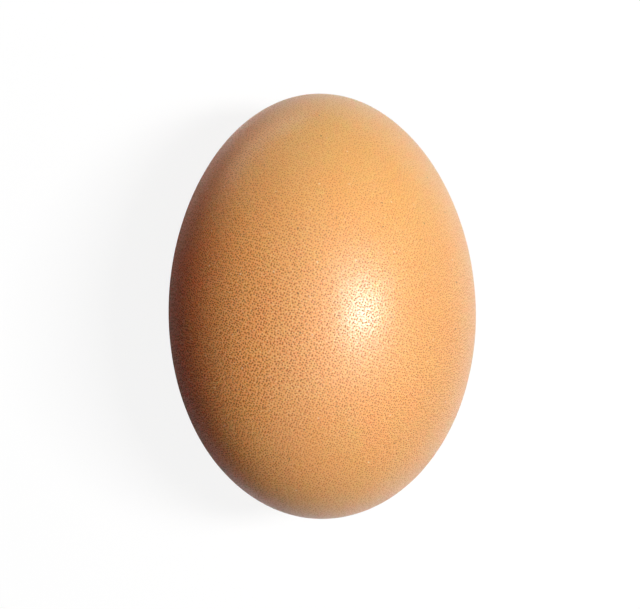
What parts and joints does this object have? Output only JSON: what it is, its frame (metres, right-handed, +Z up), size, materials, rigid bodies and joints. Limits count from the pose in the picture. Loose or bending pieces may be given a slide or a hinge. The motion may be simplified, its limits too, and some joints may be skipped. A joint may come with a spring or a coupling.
{
  "type": "egg",
  "caption": "Brown hen's egg lying on its side, a smooth oval slightly narrower at its front end, with a small flat spot underneath to rest on.",
  "frame": {"origin": "on the surface that the egg lies on, below the middle of the egg's bounding box", "axes": "+Y along the egg towards its slightly narrower end, +Z up, +X across the egg"},
  "size_m": [0.0426, 0.059, 0.0425],
  "materials": {
    "eggshell": "satin"
  },
  "bodies": {
    "root": {"egg": "eggshell"}
  },
  "joints": []
}
